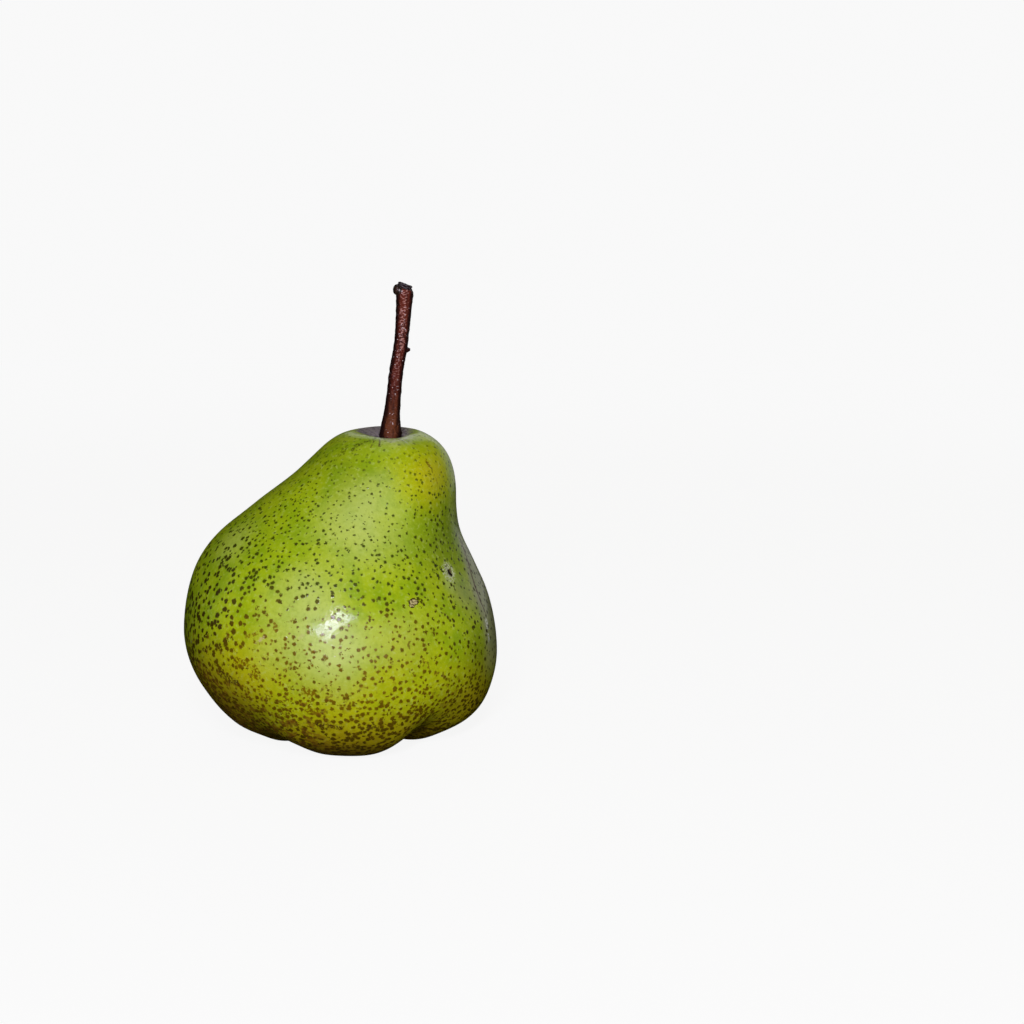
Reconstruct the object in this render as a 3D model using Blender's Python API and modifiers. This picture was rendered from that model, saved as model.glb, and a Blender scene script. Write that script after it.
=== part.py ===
"""A whole pear, as picked: the fruit standing on its base, its woody stalk, and the dried flower under it.

Metres, +Z up. The origin is on the surface that the pear stands on, under the middle of the fruit.
+X is the side that the neck and the stalk lean to, and -Y is the front.
"""

import math
from collections import namedtuple

import bmesh
import bpy
from mathutils import Matrix, Vector, noise

# ---- Driving dimensions ------------------------------------------------------------------------------

Section = namedtuple("Section", "height right half_width back half_depth")

# The fruit's outline from the bottom of the calyx pit, round the base, up the belly and the neck, and
# down into the stalk's socket. Each row is a level cut: how high, how far its middle is off the origin
# to the right and to the back, and half its width and depth.
OUTLINE = (
    Section(0.0128, 0.0016, 0.0000, 0.0000, 0.0000),
    Section(0.0124, 0.0016, 0.0020, 0.0000, 0.0020),
    Section(0.0100, 0.0016, 0.0034, 0.0000, 0.0034),
    Section(0.0060, 0.0016, 0.0046, 0.0000, 0.0046),
    Section(0.0026, 0.0017, 0.0070, 0.0000, 0.0070),
    Section(0.0007, 0.0018, 0.0110, 0.0000, 0.0112),
    Section(0.0000, 0.0020, 0.0165, 0.0000, 0.0170),
    Section(0.0014, 0.0022, 0.0225, 0.0000, 0.0235),
    Section(0.0065, 0.0021, 0.0312, 0.0000, 0.0315),
    Section(0.0150, 0.0011, 0.0371, 0.0000, 0.0364),
    Section(0.0250, 0.0001, 0.0394, 0.0000, 0.0382),
    Section(0.0350, -0.0007, 0.0378, 0.0000, 0.0366),
    Section(0.0440, -0.0012, 0.0343, 0.0002, 0.0326),
    Section(0.0515, -0.0002, 0.0302, 0.0005, 0.0278),
    Section(0.0580, 0.0032, 0.0256, 0.0008, 0.0234),
    Section(0.0640, 0.0070, 0.0212, 0.0010, 0.0200),
    Section(0.0700, 0.0095, 0.0170, 0.0012, 0.0166),
    Section(0.0741, 0.0104, 0.0132, 0.0013, 0.0133),
    Section(0.0766, 0.0108, 0.0089, 0.0013, 0.0092),
    Section(0.0767, 0.0113, 0.0061, 0.0012, 0.0063),
    Section(0.0757, 0.0118, 0.0036, 0.0010, 0.0036),
    Section(0.0743, 0.0119, 0.0030, 0.0010, 0.0030),
    Section(0.0728, 0.0119, 0.0023, 0.0010, 0.0023),
    Section(0.0726, 0.0119, 0.0000, 0.0010, 0.0000),
)
FRUIT_SEGMENTS = 64  # round the fruit
FRUIT_RINGS = 52  # from the calyx pit to the stalk's socket

# The five furrows that part the lobes of the base: direction from the middle, depth and half width.
Furrow = namedtuple("Furrow", "degrees depth spread")
FURROWS = (
    Furrow(-52, 0.0042, 13),
    Furrow(21, 0.0015, 14),
    Furrow(88, 0.0026, 14),
    Furrow(162, 0.0018, 16),
    Furrow(-133, 0.0019, 14),
)
FURROW_RISE = 0.0125  # how far up the side a furrow fades out
FURROW_START = 0.0150  # how far from the calyx a furrow is at its full depth

# Broad swellings (above 0) and hollows (below 0) of the side: direction, height, reach and rise.
Swelling = namedtuple("Swelling", "degrees height reach rise")
SWELLINGS = (
    Swelling(-85, 0.0040, 0.0150, 0.0012),
    Swelling(-20, 0.0090, 0.0100, 0.0007),
    Swelling(-14, 0.0000, 0.0090, 0.0005),
    Swelling(56, 0.0000, 0.0090, 0.0004),
    Swelling(125, 0.0000, 0.0090, 0.0006),
    Swelling(-166, 0.0000, 0.0090, 0.0009),
    Swelling(-62, 0.0640, 0.0085, 0.0009),
    Swelling(-98, 0.0650, 0.0080, -0.0006),
    Swelling(-28, 0.0455, 0.0120, -0.0010),
    Swelling(-140, 0.0300, 0.0170, 0.0010),
    Swelling(60, 0.0600, 0.0140, 0.0010),
    Swelling(130, 0.0420, 0.0160, -0.0011),
    Swelling(75, 0.0240, 0.0180, 0.0009),
)
# The front of the socket is worn down to the stalk: how far in front of it, how far it reaches, how deep.
SOCKET_DIP_FORWARD = 0.0050
SOCKET_DIP_REACH = 0.0050
SOCKET_DIP = 0.0011
SKIN_STARTS = 0.0100  # half width of the level cuts at the two ends of the skin that the swellings are on
SEARCH_STEPS = 400  # along the outline, to find a swelling's height
UNEVENNESS = 0.0005  # of the skin between the swellings
UNEVENNESS_PITCH = 0.0170
FLAT_SPOT = 0.0004  # how much of each lobe's foot is pressed flat where the pear stands

# The stalk's middle line from the socket to its knob, and its radius along the way.
Knot = namedtuple("Knot", "right back height radius")
STALK = (
    Knot(0.0119, 0.0010, 0.0731, 0.0019),
    Knot(0.0119, 0.0010, 0.0743, 0.0026),
    Knot(0.0120, 0.0010, 0.0761, 0.0028),
    Knot(0.0122, 0.0010, 0.0787, 0.0025),
    Knot(0.0125, 0.0010, 0.0822, 0.0020),
    Knot(0.0130, 0.0010, 0.0877, 0.0019),
    Knot(0.0136, 0.0011, 0.0932, 0.0018),
    Knot(0.0146, 0.0014, 0.0985, 0.0018),
    Knot(0.0150, 0.0018, 0.1035, 0.0018),
    Knot(0.0153, 0.0022, 0.1072, 0.0019),
    Knot(0.0156, 0.0025, 0.1103, 0.0022),
    Knot(0.0155, 0.0026, 0.1121, 0.0023),
    Knot(0.0153, 0.0026, 0.1138, 0.0013),
)
STALK_STEPS = 30  # along the stalk
STALK_SIDES_RESOLUTION = 3  # a curve's bevel resolution

# Round lumps on the stalk: the broken collar on the knob's left, and a dead bud on the right.
Lump = namedtuple("Lump", "right back height radius")
LUMPS = (
    Lump(0.0139, 0.0020, 0.1122, 0.0012),
    Lump(0.0164, 0.0012, 0.0974, 0.0007),
)
LUMP_SEGMENTS = 16
LUMP_RINGS = 10

# The dried flower in the calyx pit: five sepals round a tuft of stamens.
SEPALS = 5
FIRST_SEPAL_TURN = math.radians(18)
SEPAL_LENGTH = 0.0080
SEPAL_WIDTH = 0.0026
SEPAL_TIP_WIDTH = 0.0005
SEPAL_BELLY = 0.5  # how much wider than its foot a sepal would be at the tip, before the tip narrows
SEPAL_NARROWING = 2.6  # the more, the closer to the tip a sepal starts to narrow
SEPAL_POINT = 0.7  # the less, the blunter the tip
SEPAL_THICKNESS = 0.00035
SEPAL_CUPPING = 0.0020  # how much a sepal's edges curl towards the middle
SEPAL_TOP = 0.0092  # height of the end that grows from the wall of the pit
SEPAL_RING = 0.0026  # how far that end is from the middle of the pit
SEPAL_FLARE = 0.0033  # how much further out the tip is
SEPAL_CURL = 1.8  # the more, the closer to the tip a sepal bends outwards
SEPAL_COLUMNS = 4
SEPAL_ROWS = 6
TUFT_TOP = 0.0118
TUFT_BOTTOM = 0.0050
TUFT_RADIUS = 0.0013
TUFT_FOOT_RADIUS = 0.55 * TUFT_RADIUS  # at the bottom, where the anthers droop together
TUFT_RIM = 0.3 * TUFT_RADIUS
TUFT_SIDES = 14
WELDING_DISTANCE = 0.00001

SKIN_GREEN = (0.32, 0.42, 0.03, 1)
BARK_BROWN = (0.09, 0.028, 0.014, 1)
DRIED_BROWN = (0.13, 0.06, 0.022, 1)


# ---- Scene and materials -----------------------------------------------------------------------------


def clear_scene():
    for thing in list(bpy.data.objects):
        bpy.data.objects.remove(thing)


def new_collection(name):
    collection = bpy.data.collections.new(name)
    bpy.context.scene.collection.children.link(collection)
    return collection


def new_material(name, colour, roughness):
    material = bpy.data.materials.new(name)
    material.use_nodes = True
    shader = material.node_tree.nodes["Principled BSDF"]
    shader.inputs["Base Color"].default_value = colour
    shader.inputs["Roughness"].default_value = roughness
    shader.inputs["Metallic"].default_value = 0
    material.diffuse_color = colour
    return material


def finished(thing, name, collection, material):
    """Names the object, gives it its material and files it in the collection."""
    thing.name = name
    thing.data.name = name
    thing.data.materials.clear()
    thing.data.materials.append(material)
    for held_by in list(thing.users_collection):
        held_by.objects.unlink(thing)
    collection.objects.link(thing)
    return thing


# ---- Smooth curves through a few points --------------------------------------------------------------


def distances(rows, place):
    """The running length through the rows' places, and 0 for the first."""
    run = [0.0]
    for one, following in zip(rows, rows[1:]):
        run.append(run[-1] + (place(following) - place(one)).length)
    return run


def smooth_row(rows, run, at):
    """The row at that running length, on a Catmull-Rom curve through all the rows."""
    last = len(rows) - 1
    i = next((k for k in range(last) if at <= run[k + 1]), last - 1)
    span = run[i + 1] - run[i]
    s = (at - run[i]) / span
    before, after = max(i - 1, 0), min(i + 2, last)
    values = []
    for low, start, end, high in zip(rows[before], rows[i], rows[i + 1], rows[after]):
        slope_start = (end - low) / (run[i + 1] - run[before]) * span
        slope_end = (high - start) / (run[after] - run[i]) * span
        values.append(
            start * (2 * s**3 - 3 * s**2 + 1)
            + slope_start * (s**3 - 2 * s**2 + s)
            + end * (3 * s**2 - 2 * s**3)
            + slope_end * (s**3 - s**2)
        )
    return type(rows[0])(*values)


# ---- Fruit -------------------------------------------------------------------------------------------


def degrees_between(radians, degrees):
    """The smallest turn between a direction in radians and one in degrees, in degrees, without a sign."""
    return abs((math.degrees(radians) - degrees + 180) % 360 - 180)


def furrow_depth(direction, height, half_width):
    """How deep the furrows are at a point of the side or the base."""
    fade = math.exp(-((height / FURROW_RISE) ** 2))
    start = min(half_width / FURROW_START, 1.0) ** 2
    return sum(
        furrow.depth * math.exp(-((degrees_between(direction, furrow.degrees) / furrow.spread) ** 2))
        for furrow in FURROWS
    ) * fade * start


def swelling_rise(place, side):
    """How far the skin stands out at a place of the side, from the swellings and its unevenness."""
    rise = UNEVENNESS * noise.noise(place / UNEVENNESS_PITCH)
    for swelling, centre in side:
        rise += swelling.rise * math.exp(-(((place - centre).length / swelling.reach) ** 2))
    return rise


def socket_dip(place):
    """How far the crown is lowered at a place, so that the stalk's foot shows from the front."""
    seat = OUTLINE[-1]
    centre = Vector((seat.right, seat.back - SOCKET_DIP_FORWARD, seat.height))
    if place.z < seat.height - SOCKET_DIP_REACH:
        return 0.0
    across = (place - centre).to_2d().length
    return SOCKET_DIP * math.exp(-((across / SOCKET_DIP_REACH) ** 2))


def level_place(row, direction):
    """The point of a level cut that lies in that direction from the cut's middle."""
    return Vector((
        row.right + row.half_width * math.cos(direction),
        row.back + row.half_depth * math.sin(direction),
        row.height,
    ))


def swelling_centres(run):
    """Each swelling with the point of the outline that it is centred on."""
    upper = [k for k, row in enumerate(OUTLINE) if row.half_width > SKIN_STARTS]
    first, last = run[upper[0]], run[upper[-1]]
    rows = [smooth_row(OUTLINE, run, first + (last - first) * k / SEARCH_STEPS) for k in range(SEARCH_STEPS)]
    centres = []
    for swelling in SWELLINGS:
        row = min(rows, key=lambda cut: abs(cut.height - swelling.height))
        centres.append((swelling, level_place(row, math.radians(swelling.degrees))))
    return centres


def make_fruit(collection, material):
    """A sphere whose rings are laid along the outline, then furrowed, swollen and pressed flat."""
    bpy.ops.mesh.primitive_uv_sphere_add(segments=FRUIT_SEGMENTS, ring_count=FRUIT_RINGS, radius=1)
    fruit = bpy.context.object
    run = distances(OUTLINE, lambda row: Vector((row.half_width, row.height)))
    centres = swelling_centres(run)
    mesh = bmesh.new()
    mesh.from_mesh(fruit.data)
    mesh.verts.ensure_lookup_table()
    directions = {}
    widths = {}
    for vertex in mesh.verts:
        share = 1 - math.acos(max(-1.0, min(1.0, vertex.co.z))) / math.pi
        direction = math.atan2(vertex.co.y, vertex.co.x)
        row = smooth_row(OUTLINE, run, share * run[-1])
        directions[vertex.index] = direction
        widths[vertex.index] = max(row.half_width, 0.0)
        vertex.co = level_place(row, direction)
    mesh.normal_update()
    moves = {}
    for vertex in mesh.verts:
        inwards = furrow_depth(directions[vertex.index], vertex.co.z, widths[vertex.index])
        outer = min(widths[vertex.index] / FURROW_START, 1.0) ** 2
        outwards = outer * swelling_rise(vertex.co, centres)
        moves[vertex.index] = vertex.normal * (outwards - inwards)
    for vertex in mesh.verts:
        vertex.co += moves[vertex.index]
        vertex.co.z -= socket_dip(vertex.co)
    foot = min(vertex.co.z for vertex in mesh.verts) + FLAT_SPOT
    for vertex in mesh.verts:
        vertex.co.z = max(vertex.co.z - foot, 0.0)
    mesh.to_mesh(fruit.data)
    mesh.free()
    fruit.data.shade_smooth()
    return finished(fruit, "fruit", collection, material), foot


# ---- Stalk -------------------------------------------------------------------------------------------


def mesh_from_curve(curve):
    """A mesh object in the place of the curve, with its end caps welded on."""
    graph = bpy.context.evaluated_depsgraph_get()
    solid = bpy.data.meshes.new_from_object(curve.evaluated_get(graph))
    welded = bmesh.new()
    welded.from_mesh(solid)
    bmesh.ops.remove_doubles(welded, verts=welded.verts, dist=WELDING_DISTANCE)
    bmesh.ops.recalc_face_normals(welded, faces=welded.faces)
    welded.to_mesh(solid)
    welded.free()
    thing = bpy.data.objects.new("stalk", solid)
    thing.matrix_world = curve.matrix_world
    bpy.context.scene.collection.objects.link(thing)
    bpy.data.objects.remove(curve)
    return thing


def make_stalk(collection, helpers, material, lowered):
    """A round rod of changing thickness along the stalk's line, with the lumps joined on."""
    run = distances(STALK, lambda knot: Vector((knot.right, knot.back, knot.height)))
    knots = [smooth_row(STALK, run, run[-1] * k / STALK_STEPS) for k in range(STALK_STEPS + 1)]
    line = bpy.data.curves.new("stalk_line", "CURVE")
    line.dimensions = "3D"
    line.bevel_depth = 1.0
    line.bevel_resolution = STALK_SIDES_RESOLUTION
    line.use_fill_caps = True
    spline = line.splines.new("POLY")
    spline.points.add(STALK_STEPS)
    for point, knot in zip(spline.points, knots):
        point.co = (knot.right, knot.back, knot.height - lowered, 1)
        point.radius = knot.radius
    curve = bpy.data.objects.new("stalk_line", line)
    bpy.context.scene.collection.objects.link(curve)
    stalk = mesh_from_curve(curve)
    for number, lump in enumerate(LUMPS, start=1):
        bpy.ops.mesh.primitive_uv_sphere_add(
            segments=LUMP_SEGMENTS, ring_count=LUMP_RINGS, radius=lump.radius,
            location=(lump.right, lump.back, lump.height - lowered),
        )
        cutter = finished(bpy.context.object, f"lump_{number}", helpers, material)
        cutter.hide_render = True
        cutter.display_type = "WIRE"
        joined = stalk.modifiers.new(f"join_lump_{number}", "BOOLEAN")
        joined.operation = "UNION"
        joined.object = cutter
    stalk.data.shade_smooth()
    return finished(stalk, "stalk", collection, material)


# ---- Dried flower ------------------------------------------------------------------------------------


def make_leaf():
    """A narrow leaf with a pointed tip, hanging from the origin and curling outwards along +X."""
    bpy.ops.mesh.primitive_grid_add(x_subdivisions=SEPAL_COLUMNS, y_subdivisions=SEPAL_ROWS, size=1)
    leaf = bpy.context.object
    for vertex in leaf.data.vertices:
        across, down = vertex.co.x, 0.5 - vertex.co.y
        narrowing = (1 - down**SEPAL_NARROWING) ** SEPAL_POINT
        width = SEPAL_WIDTH * (1 + SEPAL_BELLY * down) * narrowing + SEPAL_TIP_WIDTH
        outwards = SEPAL_FLARE * down**SEPAL_CURL - SEPAL_CUPPING * across**2
        vertex.co = (outwards, width * across, -SEPAL_LENGTH * down)
    skin = leaf.modifiers.new("thickness", "SOLIDIFY")
    skin.thickness = SEPAL_THICKNESS
    skin.offset = 0
    soft = leaf.modifiers.new("soft_edges", "SUBSURF")
    soft.levels = 1
    soft.render_levels = 1
    return leaf


def make_flower(collection, material, lowered):
    """The ring of sepals, and the tuft of stamens and styles inside it."""
    middle = Vector((OUTLINE[0].right, OUTLINE[0].back, 0))
    for number in range(SEPALS):
        sepal = make_leaf()
        turn = 2 * math.pi * number / SEPALS + FIRST_SEPAL_TURN
        outwards = Vector((math.cos(turn), math.sin(turn), 0))
        place = middle + SEPAL_RING * outwards + Vector((0, 0, SEPAL_TOP - lowered))
        sepal.matrix_world = Matrix.Translation(place) @ Matrix.Rotation(turn, 4, "Z")
        finished(sepal, f"sepal_{number + 1}", collection, material)
    bpy.ops.mesh.primitive_cone_add(
        vertices=TUFT_SIDES, radius1=TUFT_FOOT_RADIUS, radius2=TUFT_RADIUS, depth=TUFT_TOP - TUFT_BOTTOM,
        location=middle + Vector((0, 0, (TUFT_TOP + TUFT_BOTTOM) / 2 - lowered)),
    )
    tuft = finished(bpy.context.object, "stamen_tuft", collection, material)
    bevel = tuft.modifiers.new("worn_rim", "BEVEL")
    bevel.width = TUFT_RIM
    bevel.segments = 2


def main():
    clear_scene()
    pear = new_collection("pear")
    helpers = new_collection("joining_shapes")
    helpers.hide_render = True
    skin = new_material("pear_skin", SKIN_GREEN, 0.35)
    bark = new_material("stalk_bark", BARK_BROWN, 0.4)
    dried = new_material("dried_flower", DRIED_BROWN, 0.8)
    fruit, lowered = make_fruit(pear, skin)
    make_stalk(pear, helpers, bark, lowered)
    make_flower(pear, dried, lowered)


main()
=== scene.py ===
"""A whole green pear, as picked, standing on the lobes of its base."""

import math
import random

import bmesh
import bpy
from mathutils import Matrix, Quaternion, Vector, noise


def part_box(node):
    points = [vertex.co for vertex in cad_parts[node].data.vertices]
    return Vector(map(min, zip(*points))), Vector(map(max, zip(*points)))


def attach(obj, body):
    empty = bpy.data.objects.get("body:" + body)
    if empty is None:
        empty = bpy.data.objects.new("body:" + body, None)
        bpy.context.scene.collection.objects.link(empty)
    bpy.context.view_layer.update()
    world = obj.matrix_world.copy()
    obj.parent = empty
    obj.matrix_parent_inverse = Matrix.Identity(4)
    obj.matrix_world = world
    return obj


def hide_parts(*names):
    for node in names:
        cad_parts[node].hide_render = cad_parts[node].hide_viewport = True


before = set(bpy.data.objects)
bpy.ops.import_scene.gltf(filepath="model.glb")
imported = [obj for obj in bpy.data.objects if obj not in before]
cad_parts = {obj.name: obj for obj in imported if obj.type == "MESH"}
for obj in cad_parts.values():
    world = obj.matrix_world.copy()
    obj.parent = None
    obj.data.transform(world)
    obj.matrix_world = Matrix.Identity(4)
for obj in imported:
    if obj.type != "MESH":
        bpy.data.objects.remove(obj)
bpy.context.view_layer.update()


# ---- Fruit ---------------------------------------------------------------------------------------
# The fruit is one piece: firm flesh under a thin waxy skin, swollen low down, with a leaning neck, five
# lobes round the calyx pit below and a shallow socket for the stalk on top. It grew in this shape, so its
# surface is never quite even, and the skin is puckered where it runs into the pit and round the stalk.


def pick(piece):
    """Makes the piece active, and the only one that is selected."""
    bpy.ops.object.select_all(action="DESELECT")
    piece.select_set(True)
    bpy.context.view_layer.objects.active = piece


def apply_modifier(piece, name, kind, **settings):
    """Adds a modifier with those settings to the piece and applies it."""
    pick(piece)
    modifier = piece.modifiers.new(name, kind)
    for key, value in settings.items():
        setattr(modifier, key, value)
    bpy.ops.object.modifier_apply(modifier=modifier.name)


def subdivide(piece, levels):
    apply_modifier(piece, "rounding", "SUBSURF", levels=levels, render_levels=levels)


MERGE_DISTANCE = 0.000001
QUAD_ANGLE = math.radians(60)  # two triangles are paired into a quad up to this angle


def copy_of_node(node, name):
    """A new piece with the CAD node's mesh, its loose triangles merged and paired into quads."""
    piece = bpy.data.objects.new(name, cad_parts[node].data.copy())
    bpy.context.scene.collection.objects.link(piece)
    pick(piece)
    bpy.ops.object.mode_set(mode="EDIT")
    bpy.ops.mesh.select_all(action="SELECT")
    bpy.ops.mesh.remove_doubles(threshold=MERGE_DISTANCE)
    bpy.ops.mesh.tris_convert_to_quads(face_threshold=QUAD_ANGLE, shape_threshold=QUAD_ANGLE)
    bpy.ops.object.mode_set(mode="OBJECT")
    return piece


def fade(distance, reach):
    """1 in the middle, falling smoothly to 0 at the reach."""
    return max(0.0, 1 - (distance / reach) ** 2) ** 2


FRUIT_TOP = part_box("fruit")[1].z
SEAT_DEPTH = 0.0010  # how far the stalk's seat is sunk in the top of the fruit
STALK_SEAT = Vector((0.0119, 0.0010, FRUIT_TOP - SEAT_DEPTH))
PIT_MIDDLE = Vector((0.0016, 0.0, 0.0))

WAVES = 0.00018  # height of the skin's unevenness
WAVE_PITCH = 0.0085
RIPPLES = 0.00001
RIPPLE_PITCH = 0.0022
PUCKERS = 31  # folds of the skin where it runs into the calyx pit
PUCKER_BUNCHING = ((3, 2.2), (7, 1.3))  # how often round the pit the folds bunch together, and how much
PUCKER_DEPTH = 0.00022
PUCKER_RADIUS = 0.0085
PUCKER_REACH = 0.0065
SEAT_FOLDS = 17  # folds of the skin round the stalk
SEAT_BUNCHING = ((2, 1.8),)
SEAT_FOLD_DEPTH = 0.00016
SEAT_REACH = 0.0078
FOOT_HEIGHT = 0.0008  # below this the skin gets even, so that the feet stay flat

# The marks on the skin: where each is, how far it reaches, and how far it stands out, or sinks in.
SCAB = Vector((0.0169, -0.0298, 0.0404))
BRUISE = Vector((0.0262, -0.0167, 0.0448))
SCUFF = Vector((-0.0192, -0.0333, 0.0323))
MARKS = (
    (SCAB, 0.0017, 0.00020),
    (SCAB, 0.0007, -0.00026),
    (BRUISE, 0.0026, -0.00022),
    (BRUISE, 0.0010, -0.00030),
    (SCUFF, 0.0016, 0.00008),
)
FINE_REACH = 0.0030  # the mesh is finer this close to a mark


def fold(offset, count, bunching):
    """Folds round an opening, at an offset from its middle: 1 on a crest and -1 in a groove."""
    angle = math.atan2(offset.y, offset.x)
    return math.cos(count * angle + sum(much * math.sin(often * angle) for often, much in bunching))


def skin_rise(place):
    """How far the skin stands out from the plain shape at that place."""
    rise = WAVES * noise.noise(place / WAVE_PITCH) + RIPPLES * noise.noise(place / RIPPLE_PITCH)
    if place.z < PUCKER_RADIUS:
        from_pit = (place - PIT_MIDDLE).to_2d()
        depth = PUCKER_DEPTH * fade(from_pit.length - PUCKER_RADIUS, PUCKER_REACH)
        rise += depth * fold(from_pit, PUCKERS, PUCKER_BUNCHING)
    from_stalk = place - STALK_SEAT
    if from_stalk.length < SEAT_REACH:
        depth = SEAT_FOLD_DEPTH * fade(from_stalk.length, SEAT_REACH)
        rise += depth * fold(from_stalk, SEAT_FOLDS, SEAT_BUNCHING)
    for middle, reach, height in MARKS:
        rise += height * fade((place - middle).length, reach)
    return rise


skin = copy_of_node("fruit", "skin")
subdivide(skin, 2)
pick(skin)
bpy.context.tool_settings.mesh_select_mode = (True, False, False)
bpy.ops.object.mode_set(mode="EDIT")
bpy.ops.mesh.select_all(action="DESELECT")
skin_mesh = bmesh.from_edit_mesh(skin.data)
for vertex in skin_mesh.verts:
    marked = any((vertex.co - middle).length < FINE_REACH for middle in (SCAB, BRUISE, SCUFF))
    vertex.select_set(marked or (vertex.co - STALK_SEAT).length < SEAT_REACH)
skin_mesh.select_flush(True)
bmesh.update_edit_mesh(skin.data)
bpy.ops.mesh.subdivide(number_cuts=2)
skin_mesh = bmesh.from_edit_mesh(skin.data)
skin_mesh.normal_update()
for vertex in skin_mesh.verts:
    above_foot = min(vertex.co.z / FOOT_HEIGHT, 1.0)
    vertex.co += vertex.normal * skin_rise(vertex.co) * above_foot
    vertex.co.z = max(vertex.co.z, 0.0)
bmesh.update_edit_mesh(skin.data)
bpy.ops.object.mode_set(mode="OBJECT")


class Finish:
    """A material made of nodes. Each method adds a node and hands back its output socket."""

    def __init__(self, name):
        self.material = bpy.data.materials.new(name)
        self.material.use_nodes = True
        self.tree = self.material.node_tree
        self.shader = self.tree.nodes["Principled BSDF"]
        self.place = self.node("ShaderNodeTexCoord", output="Object")
        self.facing = self.node("ShaderNodeTexCoord", output="Normal")

    def node(self, kind, inputs=None, output=0, **settings):
        made = self.tree.nodes.new(kind)
        for key, value in settings.items():
            setattr(made, key, value)
        for key, value in (inputs or {}).items():
            self.feed(made.inputs[key], value)
        return made.outputs[output]

    def feed(self, socket, value):
        if isinstance(value, bpy.types.NodeSocket):
            self.tree.links.new(value, socket)
        else:
            socket.default_value = value

    def set(self, **values):
        """Sets or links the shader's own sockets, whose names have underlines for spaces."""
        for key, value in values.items():
            self.feed(self.shader.inputs[key.replace("_", " ")], value)

    def math(self, operation, a, b=0.0):
        return self.node("ShaderNodeMath", {0: a, 1: b}, operation=operation)

    def add(self, a, b):
        return self.math("ADD", a, b)

    def times(self, a, b):
        return self.math("MULTIPLY", a, b)

    def less(self, a, b):
        return self.math("SUBTRACT", a, b)

    def most(self, value, *others):
        for other in others:
            value = self.math("MAXIMUM", value, other)
        return value

    def ramp(self, value, start, end, low=0.0, high=1.0):
        """Runs smoothly from low at start to high at end, and stays there. End may be less than start."""
        inputs = {"Value": value, "From Min": start, "From Max": end, "To Min": low, "To Max": high}
        return self.node("ShaderNodeMapRange", inputs, interpolation_type="SMOOTHSTEP")

    def mix(self, factor, a, b):
        """Colour a where the factor is 0 and colour b where it is 1."""
        return self.node("ShaderNodeMix", {0: factor, 6: a, 7: b}, output=2, data_type="RGBA")

    def vector(self, operation, a, b):
        return self.node("ShaderNodeVectorMath", {0: a, 1: b}, operation=operation)

    def stretched(self, place, scale):
        return self.vector("MULTIPLY", place, scale)

    def noise(self, place, pitch, detail=2.0, output="Fac"):
        """Noise whose lumps are about a pitch across, in metres."""
        inputs = {"Vector": place, "Scale": 1 / pitch, "Detail": detail}
        return self.node("ShaderNodeTexNoise", inputs, output=output)

    def wandering(self, place, pitch, reach):
        """The place, moved about at random by up to about half the reach."""
        colour = self.noise(place, pitch, output="Color")
        centred = self.vector("SUBTRACT", colour, (0.5, 0.5, 0.5))
        return self.vector("ADD", place, self.vector("MULTIPLY", centred, (reach, reach, reach)))

    def axis(self, place, name):
        return self.node("ShaderNodeSeparateXYZ", {0: place}, output=name)

    def length(self, offset):
        return self.node("ShaderNodeVectorMath", {0: offset}, output="Value", operation="LENGTH")

    def dot(self, a, b):
        """How far a runs in the direction of b."""
        return self.node("ShaderNodeVectorMath", {0: a, 1: b}, output="Value", operation="DOT_PRODUCT")

    def along_skin(self, offset):
        """The part of an offset that lies along the surface."""
        return self.vector("SUBTRACT", offset, self.vector("PROJECT", offset, self.facing))

    def near(self, place, middle, reach):
        """1 at the middle and 0 from the reach outwards."""
        return self.ramp(self.length(self.vector("SUBTRACT", place, middle)), reach, 0.0)

    def stroke(self, place, start, end, width):
        """1 on the line from start to end along the surface, and 0 at half the width and beyond."""
        run = Vector(end) - Vector(start)
        offset = self.vector("SUBTRACT", place, start)
        share = self.node("ShaderNodeClamp", {0: self.dot(offset, tuple(run / run.length_squared))})
        inputs = {0: tuple(run), "Scale": share}
        nearest = self.node("ShaderNodeVectorMath", inputs, operation="SCALE")
        beside_line = self.along_skin(self.vector("SUBTRACT", offset, nearest))
        return self.ramp(self.length(beside_line), width / 2, 0.0)

    def bump(self, height, distance, normal=None):
        """A bumpy normal: the height is from 0 to 1, and the distance is how far 1 stands out, in metres."""
        inputs = {"Height": height, "Distance": distance}
        if normal is not None:
            inputs["Normal"] = normal
        return self.node("ShaderNodeBump", inputs)


# The skin is a waxy green that yellows low down and on the side of the neck. It is dotted all over with
# lenticels, small and olive on the neck, larger, browner and closer low down, until they run together in
# russet round the base. The socket round the stalk is covered with thin purple-grey russet.
GREEN = (0.33, 0.425, 0.004, 1)
LEAF_GREEN = (0.235, 0.35, 0.003, 1)
DEEP_GREEN = (0.135, 0.20, 0.003, 1)
# Pale green: the skin's own pale flecks, and painted sheen in patches.
PALE_AND_SHEEN_GREEN = (0.45, 0.53, 0.105, 1)
YELLOW_GREEN = (0.42, 0.42, 0.003, 1)
GOLD = (0.41, 0.34, 0.004, 1)
OLIVE_DOT = (0.050, 0.066, 0.0005, 1)
BRONZE = (0.335, 0.215, 0.003, 1)
BROWN_DOT = (0.175, 0.108, 0.0005, 1)
DARK_DOT = (0.036, 0.026, 0.0005, 1)
RUSSET = (0.210, 0.098, 0.002, 1)
DARK_RUSSET_AND_SHADE = (0.060, 0.030, 0.003, 1)
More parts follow.
